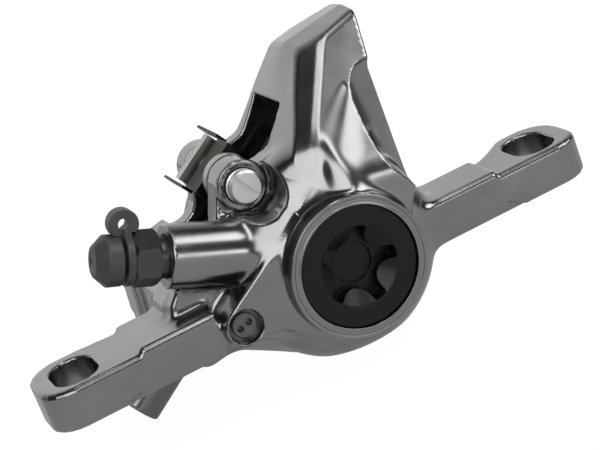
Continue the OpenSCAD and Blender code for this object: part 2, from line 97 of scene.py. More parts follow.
BORE_X, _, BORE_Z = node_centre("bore_cap")
AXLE_X, _, AXLE_Z = node_centre("pad_axle")
PORT_X, _, PORT_Z = node_centre("port_plug")
BORE_AXIS = (BORE_X, BORE_Z)
AXLE_AXIS = (AXLE_X, AXLE_Z)
PORT_AXIS = (PORT_X, PORT_Z)
CAP_R = (CAP_HIGH[0] - CAP_LOW[0]) / 2
CAP_Y = CAP_LOW[1]
CAP_DISC_DEEP = 4.4
CAP_MESH_DEEP = 4.6
RING_Y = BODY_LOW[1]
PISTON_PLAY = 0.05
BORE_R = (PISTON_HIGH[0] - PISTON_LOW[0]) / 2 + PISTON_PLAY
PLATE_GAP = 0.25
SLOT_Y1 = node_box("outer_pad_plate")[0][1] - PLATE_GAP
SLOT_Y2 = node_box("inner_pad_plate")[1][1] + PLATE_GAP
DISC_Y = (SLOT_Y1 + SLOT_Y2) / 2
RADIAL = math.radians(122.5)
OUT = np.array([math.cos(RADIAL), math.sin(RADIAL)])
ALONG = np.array([math.sin(RADIAL), -math.cos(RADIAL)])
DISC_R = 80.0
DISC_OVER_BORE = 10.5
DISC_CENTRE = np.array([BORE_X, BORE_Z]) - OUT * (DISC_R - DISC_OVER_BORE)
AXLE_R = 1.75
AXLE_BOSS_R = 3.6
AXLE_HEAD_R = (AXLE_HIGH[0] - AXLE_LOW[0]) / 2
AXLE_SEAT_R = AXLE_HEAD_R + 0.12
AXLE_HEAD_Y = AXLE_LOW[1]
REAR_BOSS_Y = AXLE_HIGH[1] - 1.5
WEB_Y = PLUG_LOW[1] - 1.0
PORT_R = (PLUG_HIGH[0] - PLUG_LOW[0]) / 2
NIPPLE_AT = np.array([-19.8, -2.5, 9.85])
NIPPLE_TILT = math.radians(22)
NIPPLE_BOSS_R = 4.5
HOSE_AT = np.array([-28.2, 19.8, -17.0])
HOSE_TILT = math.radians(-34)
HOSE_R = 3.9
RING_R = 10.15
POST_X = 37
POST_SLOT_R = 3.2
POST_SLOT_HALF = 1.5


# Signed distances. Inputs broadcast, so a form of two coordinates is worked out on a plane only.


def smooth_union(a, b, k):
    """Union with a soft valley of about k: the cubic smooth minimum"""
    h = np.maximum(k - np.abs(a - b), 0.0) / k
    return np.minimum(a, b) - h * h * h * k / 6.0


def smooth_cut(a, b, k):
    """a without b, with a soft rim of about k"""
    return -smooth_union(-a, b, k)


def smooth_common(a, b, k):
    """Common part of a and b with a soft ridge of about k"""
    return -smooth_union(-a, -b, k)


def round_common(a, b, r):
    """Common part with an edge rounded to the radius r where the faces meet squarely"""
    u = np.maximum(a + r, 0.0)
    v = np.maximum(b + r, 0.0)
    return np.minimum(np.maximum(a, b), -r) + np.sqrt(u * u + v * v)


def outline(points, u, v):
    """Signed distance to a closed polygon: the nearest edge, negative inside"""
    best = np.inf
    sign = 1.0
    for (ax, ay), (bx, by) in zip(points, np.roll(points, -1, 0)):
        ex, ey = bx - ax, by - ay
        wx, wy = u - ax, v - ay
        t = np.clip((wx * ex + wy * ey) / (ex * ex + ey * ey), 0.0, 1.0)
        best = np.minimum(best, (wx - ex * t) ** 2 + (wy - ey * t) ** 2)
        above = v >= ay
        below = v < by
        left = ex * wy > ey * wx
        sign = np.where((above & below & left) | (~above & ~below & ~left), -sign, sign)
    return sign * np.sqrt(best)


def corners(points, radius, steps=6):
    """Polygon whose corners are replaced by arcs; radius is one value or one per corner"""
    sharp, straight = 1e-6, 1.53
    points = np.asarray(points, float)
    radii = np.broadcast_to(radius, len(points))
    turned = []
    for p, a, b, r in zip(points, np.roll(points, 1, 0), np.roll(points, -1, 0), radii):
        u = (a - p) / np.linalg.norm(a - p)
        w = (b - p) / np.linalg.norm(b - p)
        half = math.acos(np.clip(u @ w, -1, 1)) / 2
        if r < sharp or half > straight:
            turned.append(p[None])
            continue
        reach = r / math.tan(half)
        centre = p + (u + w) / np.linalg.norm(u + w) * r / math.sin(half)
        start, end = p + u * reach - centre, p + w * reach - centre
        a0 = math.atan2(start[1], start[0])
        sweep = (math.atan2(end[1], end[0]) - a0 + math.pi) % (2 * math.pi) - math.pi
        t = a0 + sweep * np.linspace(0, 1, steps)
        turned.append(centre + r * np.stack([np.cos(t), np.sin(t)], 1))
    return np.concatenate(turned)


def arc(centre, r, start, end, steps):
    """Points of a circular arc between two angles in degrees"""
    t = np.radians(np.linspace(start, end, steps))
    return np.asarray(centre) + r * np.stack([np.cos(t), np.sin(t)], 1)


def joined(*parts):
    """One outline from rows of points"""
    return np.concatenate([np.atleast_2d(np.asarray(p, float)) for p in parts])


def slab(v, low, high):
    """Distance to the space between two parallel planes"""
    return np.maximum(low - v, v - high)


def rod(u, v, at, r):
    """Endless cylinder: distance from its axis less its radius"""
    return np.hypot(u - at[0], v - at[1]) - r


def half_space(x, y, z, point, normal):
    """Distance to the plane through point, negative on the side that normal points away from"""
    n = np.asarray(normal, float)
    n = n / np.linalg.norm(n)
    return (x - point[0]) * n[0] + (y - point[1]) * n[1] + (z - point[2]) * n[2]


def plane_of(a, b, c, outside):
    """Point and outward normal of the plane through three points"""
    n = np.cross(np.subtract(b, a), np.subtract(c, a))
    return a, n if n @ np.asarray(outside, float) > 0 else -n


def along_axis(x, z, at, tilt):
    """Distance into the body along a tilted boss's axis, and distance across it in X and Z"""
    c, s = math.cos(tilt), math.sin(tilt)
    return (x - at[0]) * c - (z - at[2]) * s, (x - at[0]) * s + (z - at[2]) * c


# The caliper body. Its fin is planes through these points, on the outboard side and mirrored on the inboard

FIN_L = (9.45, SLOT_Y1, 26.1)
FIN_M = (14.1, 3.7, 26.8)
FIN_R = (20.2, 5.6, 28.2)
FIN_RIDGE = (4.15, -6.4, 15.6)
FIN_SIDE = (5.45, DISC_Y, 21.3)
FIN_FOOT = (1.5, -2.8, 17.7)
CROWN_L = (9.1, DISC_Y, 26.45)
CROWN_R = (19.5, DISC_Y, 28.85)
REAR_FOOT = (14.0, 1.2, 16.0)
REAR_SIDE = (2.5, 2.1, 17.0)
WALL_Y = 0.6


RIB_EDGE = joined(
    [[13.75, 19.6], [13.25, 18.6], [12.95, 17], [12.6, 14.8], [12.4, 12.2], [12.7, 10.2], [13.4, 8.6]],
    [[14.4, 7], [15.2, 5.5]],
)


def fin_form(x, y, z):
    """Bevelled fin: planes that meet in soft ridges, inside its outline from the front"""
    side = joined(
        [[18.2, -2], [18.2, 20.6], [20.5, 26.8], [20.9, 28.5], [20.2, 32], [8, 32]],
        [[9.05, 26.1], [5.5, 21], [4.3, 19.2], [3.1, 17.7], [2, 16.4], [1.1, 15.5], [0, 15.05]],
        [[-1.2, 15], [-2.4, 15.5], [-3.2, 16.3], [-3.4, 13.0], [-3.2, 11.2], [-4.6, 9.0], [-6.2, 7.2]],
        [[-7.6, 4], [-7.6, -2]],
    )
    form = outline(side, x, z)
    front_y, bevel = -9.9, 0.12
    y_in = 2 * DISC_Y - y
    plane_l = plane_of(FIN_L, FIN_M, FIN_RIDGE, (0, -1, 0))
    plane_r = plane_of(FIN_M, FIN_R, FIN_RIDGE, (0, -1, 0))
    between = plane_l[1] / np.linalg.norm(plane_l[1]) + plane_r[1] / np.linalg.norm(plane_r[1])
    ridge = np.maximum(half_space(x, y, z, *plane_l), half_space(x, y, z, *plane_r))
    ridge = smooth_common(ridge, half_space(x, y, z, FIN_RIDGE, between) + bevel, 0.06)
    front = smooth_common(ridge, front_y - y, 2.0)
    rear = half_space(x, y_in, z, *plane_of(FIN_M, FIN_R, REAR_FOOT, (0, -1, 0)))
    rear_side = half_space(x, y_in, z, *plane_of(FIN_L, FIN_M, REAR_SIDE, (0, -1, 0)))
    rear = smooth_common(rear, rear_side, 0.4)
    tops = -np.inf
    for depth in (y, y_in):
        low = half_space(x, depth, z, *plane_of(FIN_L, FIN_M, CROWN_L, (0, 0, 1)))
        high = half_space(x, depth, z, *plane_of(FIN_M, FIN_R, CROWN_R, (0, 0, 1)))
        tops = np.maximum(tops, smooth_common(low, high, 0.4))
    left = half_space(x, y, z, *plane_of(FIN_L, FIN_FOOT, FIN_SIDE, (-1, 0, 0)))
    left_in = half_space(x, y_in, z, *plane_of(FIN_L, FIN_FOOT, FIN_SIDE, (-1, 0, 0)))
    lefts = smooth_common(left, left_in, 0.2)
    body = round_common(front, tops, 0.7)
    body = round_common(body, lefts, 0.45)
    body = round_common(body, form, 0.5)
    return round_common(body, rear, 0.6)


def pocket_form(x, y, z):
    """Recess on the fin's lower right: its floor curves inwards away from the fin's edge"""
    room = joined(
        [[26, -8], [26, 22.5], [18.4, 22.2], [17.3, 22.05], [16.3, 21.8], [15.3, 21.25], [14.4, 20.4]],
        RIB_EDGE,
        [[13, 2], [10, -8]],
    )
    floor_y, edge_x, curl, slope = 0.9, 18.2, 0.07, 0.85
    floor = (y - floor_y - curl * np.maximum(edge_x - x, 0.0) ** 2) * slope
    return round_common(outline(room, x, z), floor, 0.6)


def boss_form(x, y, z):
    """Front bore boss: a bowl turned about the bore's axis, with a straight neck under the ring"""
    core, bulge, middle_y, foot_z = 6.93, 8.2, -1.0, -14.65
    r = np.hypot(x - BORE_X, z - BORE_Z)
    bowl = np.hypot(np.maximum(r - core, 0.0), np.minimum(y - middle_y, 0.0)) - bulge
    bowl = round_common(bowl, y - SLOT_Y1 - 0.5, 0.3)
    bowl = round_common(bowl, foot_z - z, 1.0)
    bowl = smooth_common(bowl, sweep_form(x, y, z, 1.5), 0.8)
    neck = np.maximum(r - RING_R + 0.02, -(y - RING_Y - 0.5))
    return smooth_union(bowl, np.maximum(neck, y), 1.1)


def round_cone(x, y, z, a, b, r1, r2):
    """Two spheres and the cone that touches both of them"""
    a, b = np.asarray(a, float), np.asarray(b, float)
    e = b - a
    length2 = e @ e
    rr = r1 - r2
    a2 = length2 - rr * rr
    along = (x - a[0]) * e[0] + (y - a[1]) * e[1] + (z - a[2]) * e[2]
    past = along - length2
    x2 = ((x - a[0]) ** 2 + (y - a[1]) ** 2 + (z - a[2]) ** 2) * length2**2 - along**2 * length2
    x2 = np.maximum(x2, 0.0)
    y2, z2 = along * along * length2, past * past * length2
    k = rr * rr * x2
    cone = (np.sqrt(x2 * a2 / length2) + along * rr) / length2 - r1
    cone = np.where(np.sign(along) * a2 * y2 < k, np.sqrt(x2 + y2) / length2 - r1, cone)
    return np.where(np.sign(past) * a2 * z2 > k, np.sqrt(x2 + z2) / length2 - r2, cone)


def rib_form(x, y, z):
    """Rib that rises from the boss to the middle of the fin, cut along the recess on its right"""
    front_y = -10.7
    cone = round_cone(x, y, z, (2.15, -1.14, 3.45), (13.4, -1.02, 19.2), 12.0, 1.03)
    cone = smooth_common(cone, front_y - y, 0.8)
    edge = joined([[-12, 30], [13.8, 30]], RIB_EDGE, [[16.4, 1.5], [17, -4], [-2, -4], [-12, 6]])
    return round_common(cone, outline(edge, x, z), 0.4)


def wall_form(x, y, z):
    """Front wall, rear wall and the rear bore dome"""
    front = joined(
        [[18.2, 2.2], [18.2, -1], [14, -9]],
        [[1.7, -16.2], [-6.8, -12.8], [-14.2, -8.5], [-19, -5.8], [-22.2, -4.8], [-21.8, 2]],
        [[-15.5, 5.5], [-12, 6.1], [-8.6, 14.6], [-5.3, 14.4], [0, 15.2], [10, 15]],
    )
    rear = joined(
        [[16.5, 0], [14, -9], [1.7, -16.2], [-6.8, -12.3], [-14.2, -8.1], [-20, -7]],
        [[-23.2, -4.5], [-22.5, 2.5], [-20, 5], [-12.6, 7], [-11.2, 7.3], [-9.9, 8], [-9.1, 9.2]],
        [[-8.8, 10.5], [-8.8, 14.0], [-5.3, 14.4], [0, 15.2], [10, 15]],
    )
    wall = round_common(outline(front, x, z), slab(y, WALL_Y, SLOT_Y1 + 1), 0.4)
    back = round_common(outline(rear, x, z), slab(y, SLOT_Y2 - 1, REAR_BOSS_Y - 0.8), 0.4)
    core, bulge, middle_y = 7.1, 7.99, 19.0
    r = np.hypot(x - BORE_X, z - BORE_Z)
    dome = np.hypot(np.maximum(r - core, 0.0), np.maximum(y - middle_y, 0.0)) - bulge
    dome = np.maximum(dome, SLOT_Y2 - 0.5 - y)
    return wall, smooth_union(back, dome, 1.5)


def web_form(x, y, z):
    """Flat web from the boss to the plugged port with softly rounded edges, and the slope under it"""
    side = joined(
        [[-1.8, 8.5], [-5, 6.4], [-8.1, 4.5], [-11.6, 2.4], [-13.7, 1.1]],
        arc(PORT_AXIS, 2.95, 122, 250, 14),
        [[-13.8, -5.5], [-11.5, -5.2], [-9.7, -5.5], [-8.3, -6.1], [-6.7, -7.4], [-4.9, -9.1]],
        [[-3.1, -10.4], [-1.1, -11.2], [1, -6], [1, 6]],
    )
    web = round_common(outline(side, x, z), slab(y, WEB_Y, 1.0), 0.45)
    under = [[-17, -3], [-19, -5.8], [-14.2, -8.5], [-6.8, -12.8], [1.7, -16.0], [3, -8], [-5, -4]]
    slope = half_space(x, y, z, *plane_of((-13.8, -6, -5.5), (-1.1, -6, -11.3), (-8, 0.3, -11.9), (0, -1, 0)))
    slope = np.maximum(slope, slab(y, -6.2, SLOT_Y1 + 1))
    return smooth_union(web, round_common(outline(under, x, z), slope, 0.5), 0.6)


def sweep_form(x, y, z, ahead):
    """Front limit on both sides of the long edge from the fin to the plugged port. It falls away to the left.
    To the right it comes forward by the given slope behind a soft groove.
    A slope under 1 stops at the web."""
    edge = joined(
        [[16, 34], [9.2, 24.5], [4.15, 15.6], [1.9, 11.3], [-1.5, 8.8], [-5, 6.45], [-8.1, 4.55]],
        [[-11.6, 2.45], [-13.7, 1.15], [-15.6, -0.1], [-17.6, -2.6], [-32, -2.6], [-32, 36]],
    )
    reach, fall, steepness = 12.0, 0.5, 0.8
    groove_depth, groove_at, groove_width = 0.5, 1.2, 0.95
    left = np.minimum(-outline(edge, x, z), reach)
    rim = FIN_RIDGE[1] - 0.12 * np.clip(FIN_RIDGE[2] - z, -2.0, 13.0)
    groove = groove_depth * np.exp(-(((left + groove_at) / groove_width) ** 2))
    limit = rim + np.where(left > 0, fall * left, ahead * left) + groove
    if ahead < 1:
        past = 4.0 * (np.clip(z - 6.5, 0.0, 3.0) + np.clip(x - BORE_X, 0.0, 3.0))
        limit = np.maximum(limit, WEB_Y + 0.2 - past)
    return (limit - y) * steepness


def bridge_form(x, y, z):
    """Left bridge beyond the edge of the disc"""
    side = [[-12.4, 6.6], [-19.4, 5], [-21.7, 2.5], [-22.4, -4.5], [-20.2, -8.2], [-13, -7]]
    high = REAR_BOSS_Y + 5
    return round_common(outline(corners(side, [0.5, 2, 1.5, 2, 2, 0.5]), x, z), slab(y, -2.2, high), 0.7)


def arm_form(x, y, z, root_x, waist_back, relief_x, relief_z):
    """One mounting arm: its outline from above, cut to its outline from the front"""
    low, high, tip_x = -6.25, 7.25, 43.1
    step_x, step_run, step_up = 28.2, 0.6, 0.7
    waist = waist_back + 0.35 * (high - waist_back)
    edge = [[root_x, low], [tip_x, low], [tip_x, high], [35.2, high], [31.8, waist]]
    edge = edge + [[29.5, waist_back], [root_x, waist_back]]
    plan = outline(corners(edge, [0, 4.4, 5.2, 3, 2, 2, 0]), x, y)
    side = [[root_x, -6], [43.3, -6], [43.3, 0], [28.8, 0], [step_x, step_up], [root_x, step_up]]
    side = corners(side, [0, 0, 0, 0.5, 0.4, 0])
    arm = round_common(plan, outline(side, x, z), 0.85)
    top = step_up - step_up * np.clip((x - step_x) / step_run, 0.0, 1.0)
    arm = smooth_common(arm, 0.62 * (low - y) + 0.78 * (z - top) + 0.36, 0.12)
    under = [[root_x - 4, relief_z], [relief_x, relief_z], [relief_x + 2.6, -5.2], [relief_x + 3.6, -5.6]]
    under = under + [[relief_x + 4.2, -8], [root_x - 4, -8]]
    relief = outline(corners(under, [0, 1.5, 1, 0.4, 0, 0]), x, z)
    relief = np.maximum(relief, (y + 6.3 + (z - relief_z) * 0.4) * 0.93)
    arm = round_common(arm, -relief, 0.25)
    slot = np.hypot(x - POST_X, np.maximum(np.abs(y) - POST_SLOT_HALF, 0.0)) - POST_SLOT_R
    return round_common(arm, -slot, 0.3)


def axle_bosses(x, y, z):
    """Round bosses that carry the pads' axle"""
    across = rod(x, z, AXLE_AXIS, AXLE_BOSS_R)
    front = round_common(across, slab(y, 0.0, SLOT_Y1 + 1), 0.3)
    rear = round_common(across, slab(y, SLOT_Y2 - 1, REAR_BOSS_Y), 0.4)
    return front, rear


def nipple_boss(x, y, z):
    """Boss of the bleed nipple"""
    run, across = along_axis(x, z, NIPPLE_AT, NIPPLE_TILT)
    return round_common(np.hypot(across, y - NIPPLE_AT[1]) - NIPPLE_BOSS_R, slab(run, 0.0, 15.5), 0.35)


def hose_boss(x, y, z):
    """Boss of the hose port"""
    run, across = along_axis(x, z, HOSE_AT, HOSE_TILT)
    return round_common(np.hypot(across, y - HOSE_AT[1]) - HOSE_R, slab(run, 0.0, 27.0), 0.4)


def hollow_form(x, y, z):
    """Everything cut out of the body: disc space, bores, holes and ports"""
    disc_room, play, thread_play = 1.6, 0.03, 0.05
    disc = rod(x, z, DISC_CENTRE, DISC_R + disc_room)
    disc = round_common(np.maximum(disc, slab(x, -24, 27)), slab(y, SLOT_Y1, SLOT_Y2), 0.0001)
    along = (x - BORE_X) * ALONG[0] + (z - BORE_Z) * ALONG[1]
    outward = (x - BORE_X) * OUT[0] + (z - BORE_Z) * OUT[1]
    pads = np.maximum(slab(along, -12.9, 13.3), slab(outward, -30, 40))
    space = np.minimum(disc, np.maximum(pads, slab(y, SLOT_Y1, SLOT_Y2)))
    bores = np.maximum(rod(x, z, BORE_AXIS, BORE_R), slab(y, -5.7, 25.3))
    cap = np.maximum(rod(x, z, BORE_AXIS, CAP_R + play), slab(y, -20, -4.7))
    port = np.maximum(rod(x, z, PORT_AXIS, PORT_R + play), slab(y, -20, WEB_Y + 4.4))
    axle = np.maximum(rod(x, z, AXLE_AXIS, AXLE_R + thread_play), slab(y, -5, 24))
    seat = np.maximum(rod(x, z, AXLE_AXIS, AXLE_SEAT_R), slab(y, -5, AXLE_HEAD_Y + 2.8))
    run, across = along_axis(x, z, NIPPLE_AT, NIPPLE_TILT)
    nipple = np.maximum(np.hypot(across, y - NIPPLE_AT[1]) - 3.05, slab(run, -1, 7))
    run, across = along_axis(x, z, HOSE_AT, HOSE_TILT)
    hose = np.maximum(np.hypot(across, y - HOSE_AT[1]) - 2.5, slab(run, -1, 8))
    holes = np.minimum(np.minimum(bores, cap), np.minimum(port, np.minimum(axle, seat)))
    return space, np.minimum(holes, np.minimum(nipple, hose))


def body_field(x, y, z):
    """Signed distance to the caliper body in millimetres"""
    fin = round_common(fin_form(x, y, z), -pocket_form(x, y, z), 0.3)
    wall, rear = wall_form(x, y, z)
    d = smooth_union(fin, wall, 1.2)
    d = smooth_union(d, rib_form(x, y, z), 1.0)
    d = smooth_common(d, sweep_form(x, y, z, 0.75), 2.0)
    d = smooth_union(d, boss_form(x, y, z), 1.7)
    d = smooth_union(d, web_form(x, y, z), 1.1)
    d = smooth_union(d, rear, 1.5)
    room = np.minimum(slab(y, -40, WALL_Y), slab(y, REAR_BOSS_Y, 60))
    axle_room, bore_wall = 0.7, 1.2
    room = np.maximum(rod(x, z, AXLE_AXIS, AXLE_BOSS_R + axle_room), room)
    room = np.maximum(room, -rod(x, z, BORE_AXIS, BORE_R + bore_wall))
    d = smooth_cut(d, room, 0.6)
    for carrier in axle_bosses(x, y, z):
        d = smooth_union(d, carrier, 0.7)
    d = smooth_union(d, bridge_form(x, y, z), 2.0)
    d = smooth_union(d, nipple_boss(x, y, z), 2.2)
    d = smooth_union(d, hose_boss(x, y, z), 1.5)
    d = smooth_union(d, arm_form(x, y, z, 11, 2.8, 27.6, -3.6), 2.6)
    d = smooth_union(d, arm_form(-x, y, z, 17, 6.5, 28.6, -4.3), 2.6)
    space, holes = hollow_form(x, y, z)
    d = round_common(d, -space, 0.3)
    return round_common(d, -holes, 0.15)


# From a signed distance to a mesh


def corner_slices(shape, axis, a, b):
    """Slices of a grid of edges that give one of the four edges round each cell"""
    spans = [slice(None)] * 3
    others = [i for i in range(3) if i != axis]
    for i, shift in zip(others, (a, b)):
        spans[i] = slice(shift, shape[i] - 1 + shift)
    return tuple(spans)


def surface_net(values):
    """Points and quads of the zero surface of a grid, in grid steps.
    Each cell that the surface crosses gets the mean of its edges' crossings, and each crossed edge a quad."""
    n = np.array(values.shape)
    total = np.zeros((*(n - 1), 3), np.float32)
    count = np.zeros(n - 1, np.float32)
    inside = values < 0
    crossings = []
    for axis in range(3):
        low = [slice(None)] * 3
        high = [slice(None)] * 3
        low[axis], high[axis] = slice(None, -1), slice(1, None)
        a, b = values[tuple(low)], values[tuple(high)]
        crossed = inside[tuple(low)] != inside[tuple(high)]
        t = np.where(crossed, a / np.where(crossed, a - b, 1.0), 0.0).astype(np.float32)
        place = [np.arange(m, dtype=np.float32) for m in a.shape]
        for da in (0, 1):
            for db in (0, 1):
                cut = corner_slices(n, axis, da, db)
                hit = crossed[cut]
                count += hit
                for c in range(3):
                    line = place[c][cut[c]]
                    where = line.reshape([-1 if i == c else 1 for i in range(3)])
                    total[..., c] += hit * (where + (t[cut] if c == axis else 0.0))
        crossings.append((crossed, inside[tuple(low)]))
    cells = count > 0
    index = np.full(n - 1, -1, np.int64)
    index[cells] = np.arange(cells.sum())
    points = total[cells] / count[cells][:, None]
    quads = []
    for axis, (crossed, starts_in) in enumerate(crossings):
        at = np.argwhere(crossed)
        u, v = (axis + 1) % 3, (axis + 2) % 3
        keep = (at[:, u] > 0) & (at[:, v] > 0) & (at[:, u] < n[u] - 1) & (at[:, v] < n[v] - 1)
        at = at[keep]
        ring = []
        for du, dv in ((1, 1), (0, 1), (0, 0), (1, 0)):
            cell = at.copy()
            cell[:, u] -= du
            cell[:, v] -= dv
            ring.append(index[tuple(cell.T)])
        quad = np.stack(ring, 1)
        flip = ~starts_in[tuple(at.T)]
        quad[flip] = quad[flip][:, ::-1]
        quads.append(quad)
    return points, np.concatenate(quads)


def slopes(field, p, h=0.02):
    """Gradient of a field at points by central differences"""
    g = np.empty_like(p)
    for axis in range(3):
        step = np.zeros(3)
        step[axis] = h
        g[:, axis] = field(*(p + step).T) - field(*(p - step).T)
    return g / (2 * h)


def settle(field, p, rounds=3):
    """Moves points along the gradient onto the zero surface, a short way in each round"""
    least_slope, longest = 0.25, 0.3
    for _ in range(rounds):
        g = slopes(field, p)
        length = np.maximum((g * g).sum(1), least_slope)
        move = -(field(*p.T) / length)[:, None] * g
        far = np.linalg.norm(move, axis=1)
        p = p + move * np.minimum(1.0, longest / np.maximum(far, TINY))[:, None]
    return p


def carve(field, low, high, step):
    """Points, quads and normals of a field's zero surface between two corners"""
    low = np.asarray(low, float) - 2 * step
    steps = np.ceil((np.asarray(high, float) + 2 * step - low) / step).astype(int) + 1
    x = (low[0] + step * np.arange(steps[0]))[:, None, None]
    y = (low[1] + step * np.arange(steps[1]))[None, :, None]
    z = (low[2] + step * np.arange(steps[2]))[None, None, :]
    values = np.broadcast_to(field(x, y, z), tuple(steps)).astype(np.float32)
    points, quads = surface_net(values)
    points = settle(field, low + points.astype(float) * step)
    normals = slopes(field, points)
    normals /= np.maximum(np.linalg.norm(normals, axis=1), TINY)[:, None]
    return points, quads, normals


# From arrays to objects


def add_piece(name, points, faces, body, material, normals=None, replaces=()):
    """Object at the origin from points in millimetres and faces of equal length, riding on a body"""
    mesh = bpy.data.meshes.new(name)
    points = np.asarray(points, float) * MM
    faces = np.asarray(faces)
    sides = faces.shape[1]
    mesh.vertices.add(len(points))
    mesh.vertices.foreach_set("co", points.astype(np.float32).ravel())
    mesh.loops.add(faces.size)
    mesh.loops.foreach_set("vertex_index", faces.astype(np.int32).ravel())
    mesh.polygons.add(len(faces))
    mesh.polygons.foreach_set("loop_start", np.arange(0, faces.size, sides, dtype=np.int32))
    mesh.update(calc_edges=True)
    mesh.validate()
    mesh.polygons.foreach_set("use_smooth", np.full(len(mesh.polygons), True))
    if normals is not None:
        mesh.normals_split_custom_set_from_vertices(np.asarray(normals, np.float32).tolist())
    mesh.update()
    piece = bpy.data.objects.new(name, mesh)
    bpy.context.scene.collection.objects.link(piece)
    mesh.materials.append(material)
    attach(piece, body)
    if replaces:
        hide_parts(*replaces)
    return piece


def lathe(profile, steps):
    """Surface of revolution: a closed row of [radius, height] points carried round the local Z axis"""
    profile = np.asarray(profile, float)
    t = np.linspace(0, 2 * np.pi, steps, endpoint=False)
    points = np.stack(
        [
            profile[:, 0, None] * np.cos(t),
            profile[:, 0, None] * np.sin(t),
            np.broadcast_to(profile[:, 1, None], (len(profile), steps)),
        ],
        -1,
    ).reshape(-1, 3)
    i, j = np.meshgrid(np.arange(len(profile)), np.arange(steps), indexing="ij")
    k, m = (i + 1) % len(profile), (j + 1) % steps
    faces = np.stack([i * steps + j, i * steps + m, k * steps + m, k * steps + j], -1)
    return points, faces.reshape(-1, 4)


def turned_profile(points, radius, least=0.02):
    """Closed profile with small rounded corners, kept off the axis so that every face is a quad"""
    profile = corners(points, radius)
    profile[:, 0] = np.maximum(profile[:, 0], least)
    return profile


def to_y(points, at):
    """Turns a lathe's axis from Z to Y and moves it to a place in X and Z"""
    return np.stack([points[:, 0] + at[0], points[:, 2], -points[:, 1] + at[1]], 1)


def to_nipple(points):
    """From the nipple's own frame, Z outwards and X up, to the caliper's"""
    out = np.array([-math.cos(NIPPLE_TILT), 0, math.sin(NIPPLE_TILT)])
    up = np.array([math.sin(NIPPLE_TILT), 0, math.cos(NIPPLE_TILT)])
    side = np.cross(out, up)
    return NIPPLE_AT + points[:, :1] * up + points[:, 1:2] * side + points[:, 2:3] * out


# Finishes


def new_material(name):
    """Empty material with its nodes, and its shader"""
    material = bpy.data.materials.new(name)
    material.use_nodes = True
    nodes = material.node_tree.nodes
    nodes.clear()
    shader = nodes.new("ShaderNodeBsdfPrincipled")
    out = nodes.new("ShaderNodeOutputMaterial")
    material.node_tree.links.new(shader.outputs["BSDF"], out.inputs["Surface"])
    return material, nodes, material.node_tree.links, shader


def place_in(nodes):
    """Object coordinates"""
    return nodes.new("ShaderNodeTexCoord").outputs["Object"]


def noise(nodes, links, where, scale, detail=4.0, rough=0.5):
    """Noise texture's value"""
    node = nodes.new("ShaderNodeTexNoise")
    node.inputs["Scale"].default_value = scale
    node.inputs["Detail"].default_value = detail
    node.inputs["Roughness"].default_value = rough
    links.new(where, node.inputs["Vector"])
    return node.outputs["Fac"]


def span(nodes, links, value, low, high, at=(0.3, 0.7)):
    """A value's range mapped to another"""
    node = nodes.new("ShaderNodeMapRange")
    node.inputs["From Min"].default_value, node.inputs["From Max"].default_value = at
    node.inputs["To Min"].default_value, node.inputs["To Max"].default_value = low, high
    links.new(value, node.inputs["Value"])
    return node.outputs["Result"]


def two_tone(nodes, links, value, dark, pale, at=(0.3, 0.7)):
    """Colour that runs from dark to pale with a value"""
    ramp = nodes.new("ShaderNodeValToRGB")
    ramp.color_ramp.elements[0].position, ramp.color_ramp.elements[1].position = at
    ramp.color_ramp.elements[0].color = (*dark, 1)
    ramp.color_ramp.elements[1].color = (*pale, 1)
    links.new(value, ramp.inputs["Fac"])
    return ramp.outputs["Color"]


def bumped(nodes, links, shader, value, strength, distance):
    """Bump from a value, in metres of height"""
    bump = nodes.new("ShaderNodeBump")
    bump.inputs["Strength"].default_value = strength
    bump.inputs["Distance"].default_value = distance
    links.new(value, bump.inputs["Height"])
    links.new(bump.outputs["Normal"], shader.inputs["Normal"])


def shade(colour, factor):
    """A colour made darker or paler"""
    return tuple(min(1.0, c * factor) for c in colour[:3])


def metal(name, colour, low, high, grain=9000.0, depth=1.2e-6, patch=0.12):
    """Satin metal: fine blasted grain, and slow patches of tone and of roughness"""
    material, nodes, links, shader = new_material(name)
    where = place_in(nodes)
    shader.inputs["Metallic"].default_value = 1.0
    slow = noise(nodes, links, where, 90.0, 5.0, 0.6)
    tone = two_tone(nodes, links, slow, shade(colour, 1 - patch), shade(colour, 1 + patch))
    links.new(tone, shader.inputs["Base Color"])
    links.new(span(nodes, links, noise(nodes, links, where, 260.0), low, high), shader.inputs["Roughness"])
    bumped(nodes, links, shader, noise(nodes, links, where, grain, 2.0), 0.5, depth)
    return material


def turned_metal(name, colour, low, high, at, patch=0.1):
    """Turned metal: fine rings about an axis along Y, from the distance to it"""
    material, nodes, links, shader = new_material(name)
    shader.inputs["Metallic"].default_value = 1.0
    mapping = nodes.new("ShaderNodeMapping")
    mapping.inputs["Location"].default_value = (-at[0] * MM, 0.0, -at[1] * MM)
    links.new(place_in(nodes), mapping.inputs["Vector"])
    split = nodes.new("ShaderNodeSeparateXYZ")
    links.new(mapping.outputs["Vector"], split.inputs["Vector"])
    flat = nodes.new("ShaderNodeCombineXYZ")
    for letter in "XZ":
        links.new(split.outputs[letter], flat.inputs[letter])
    reach = nodes.new("ShaderNodeVectorMath")
    reach.operation = "LENGTH"
    links.new(flat.outputs["Vector"], reach.inputs[0])
    rings = nodes.new("ShaderNodeTexNoise")
    rings.noise_dimensions = "1D"
    rings.inputs["Scale"].default_value = 9000.0
    rings.inputs["Detail"].default_value = 3.0
    links.new(reach.outputs["Value"], rings.inputs["W"])
    tone = two_tone(nodes, links, rings.outputs["Fac"], shade(colour, 1 - patch), shade(colour, 1 + patch))
    links.new(tone, shader.inputs["Base Color"])
    links.new(span(nodes, links, rings.outputs["Fac"], low, high), shader.inputs["Roughness"])
    bumped(nodes, links, shader, rings.outputs["Fac"], 0.35, 2.0e-6)
    return material


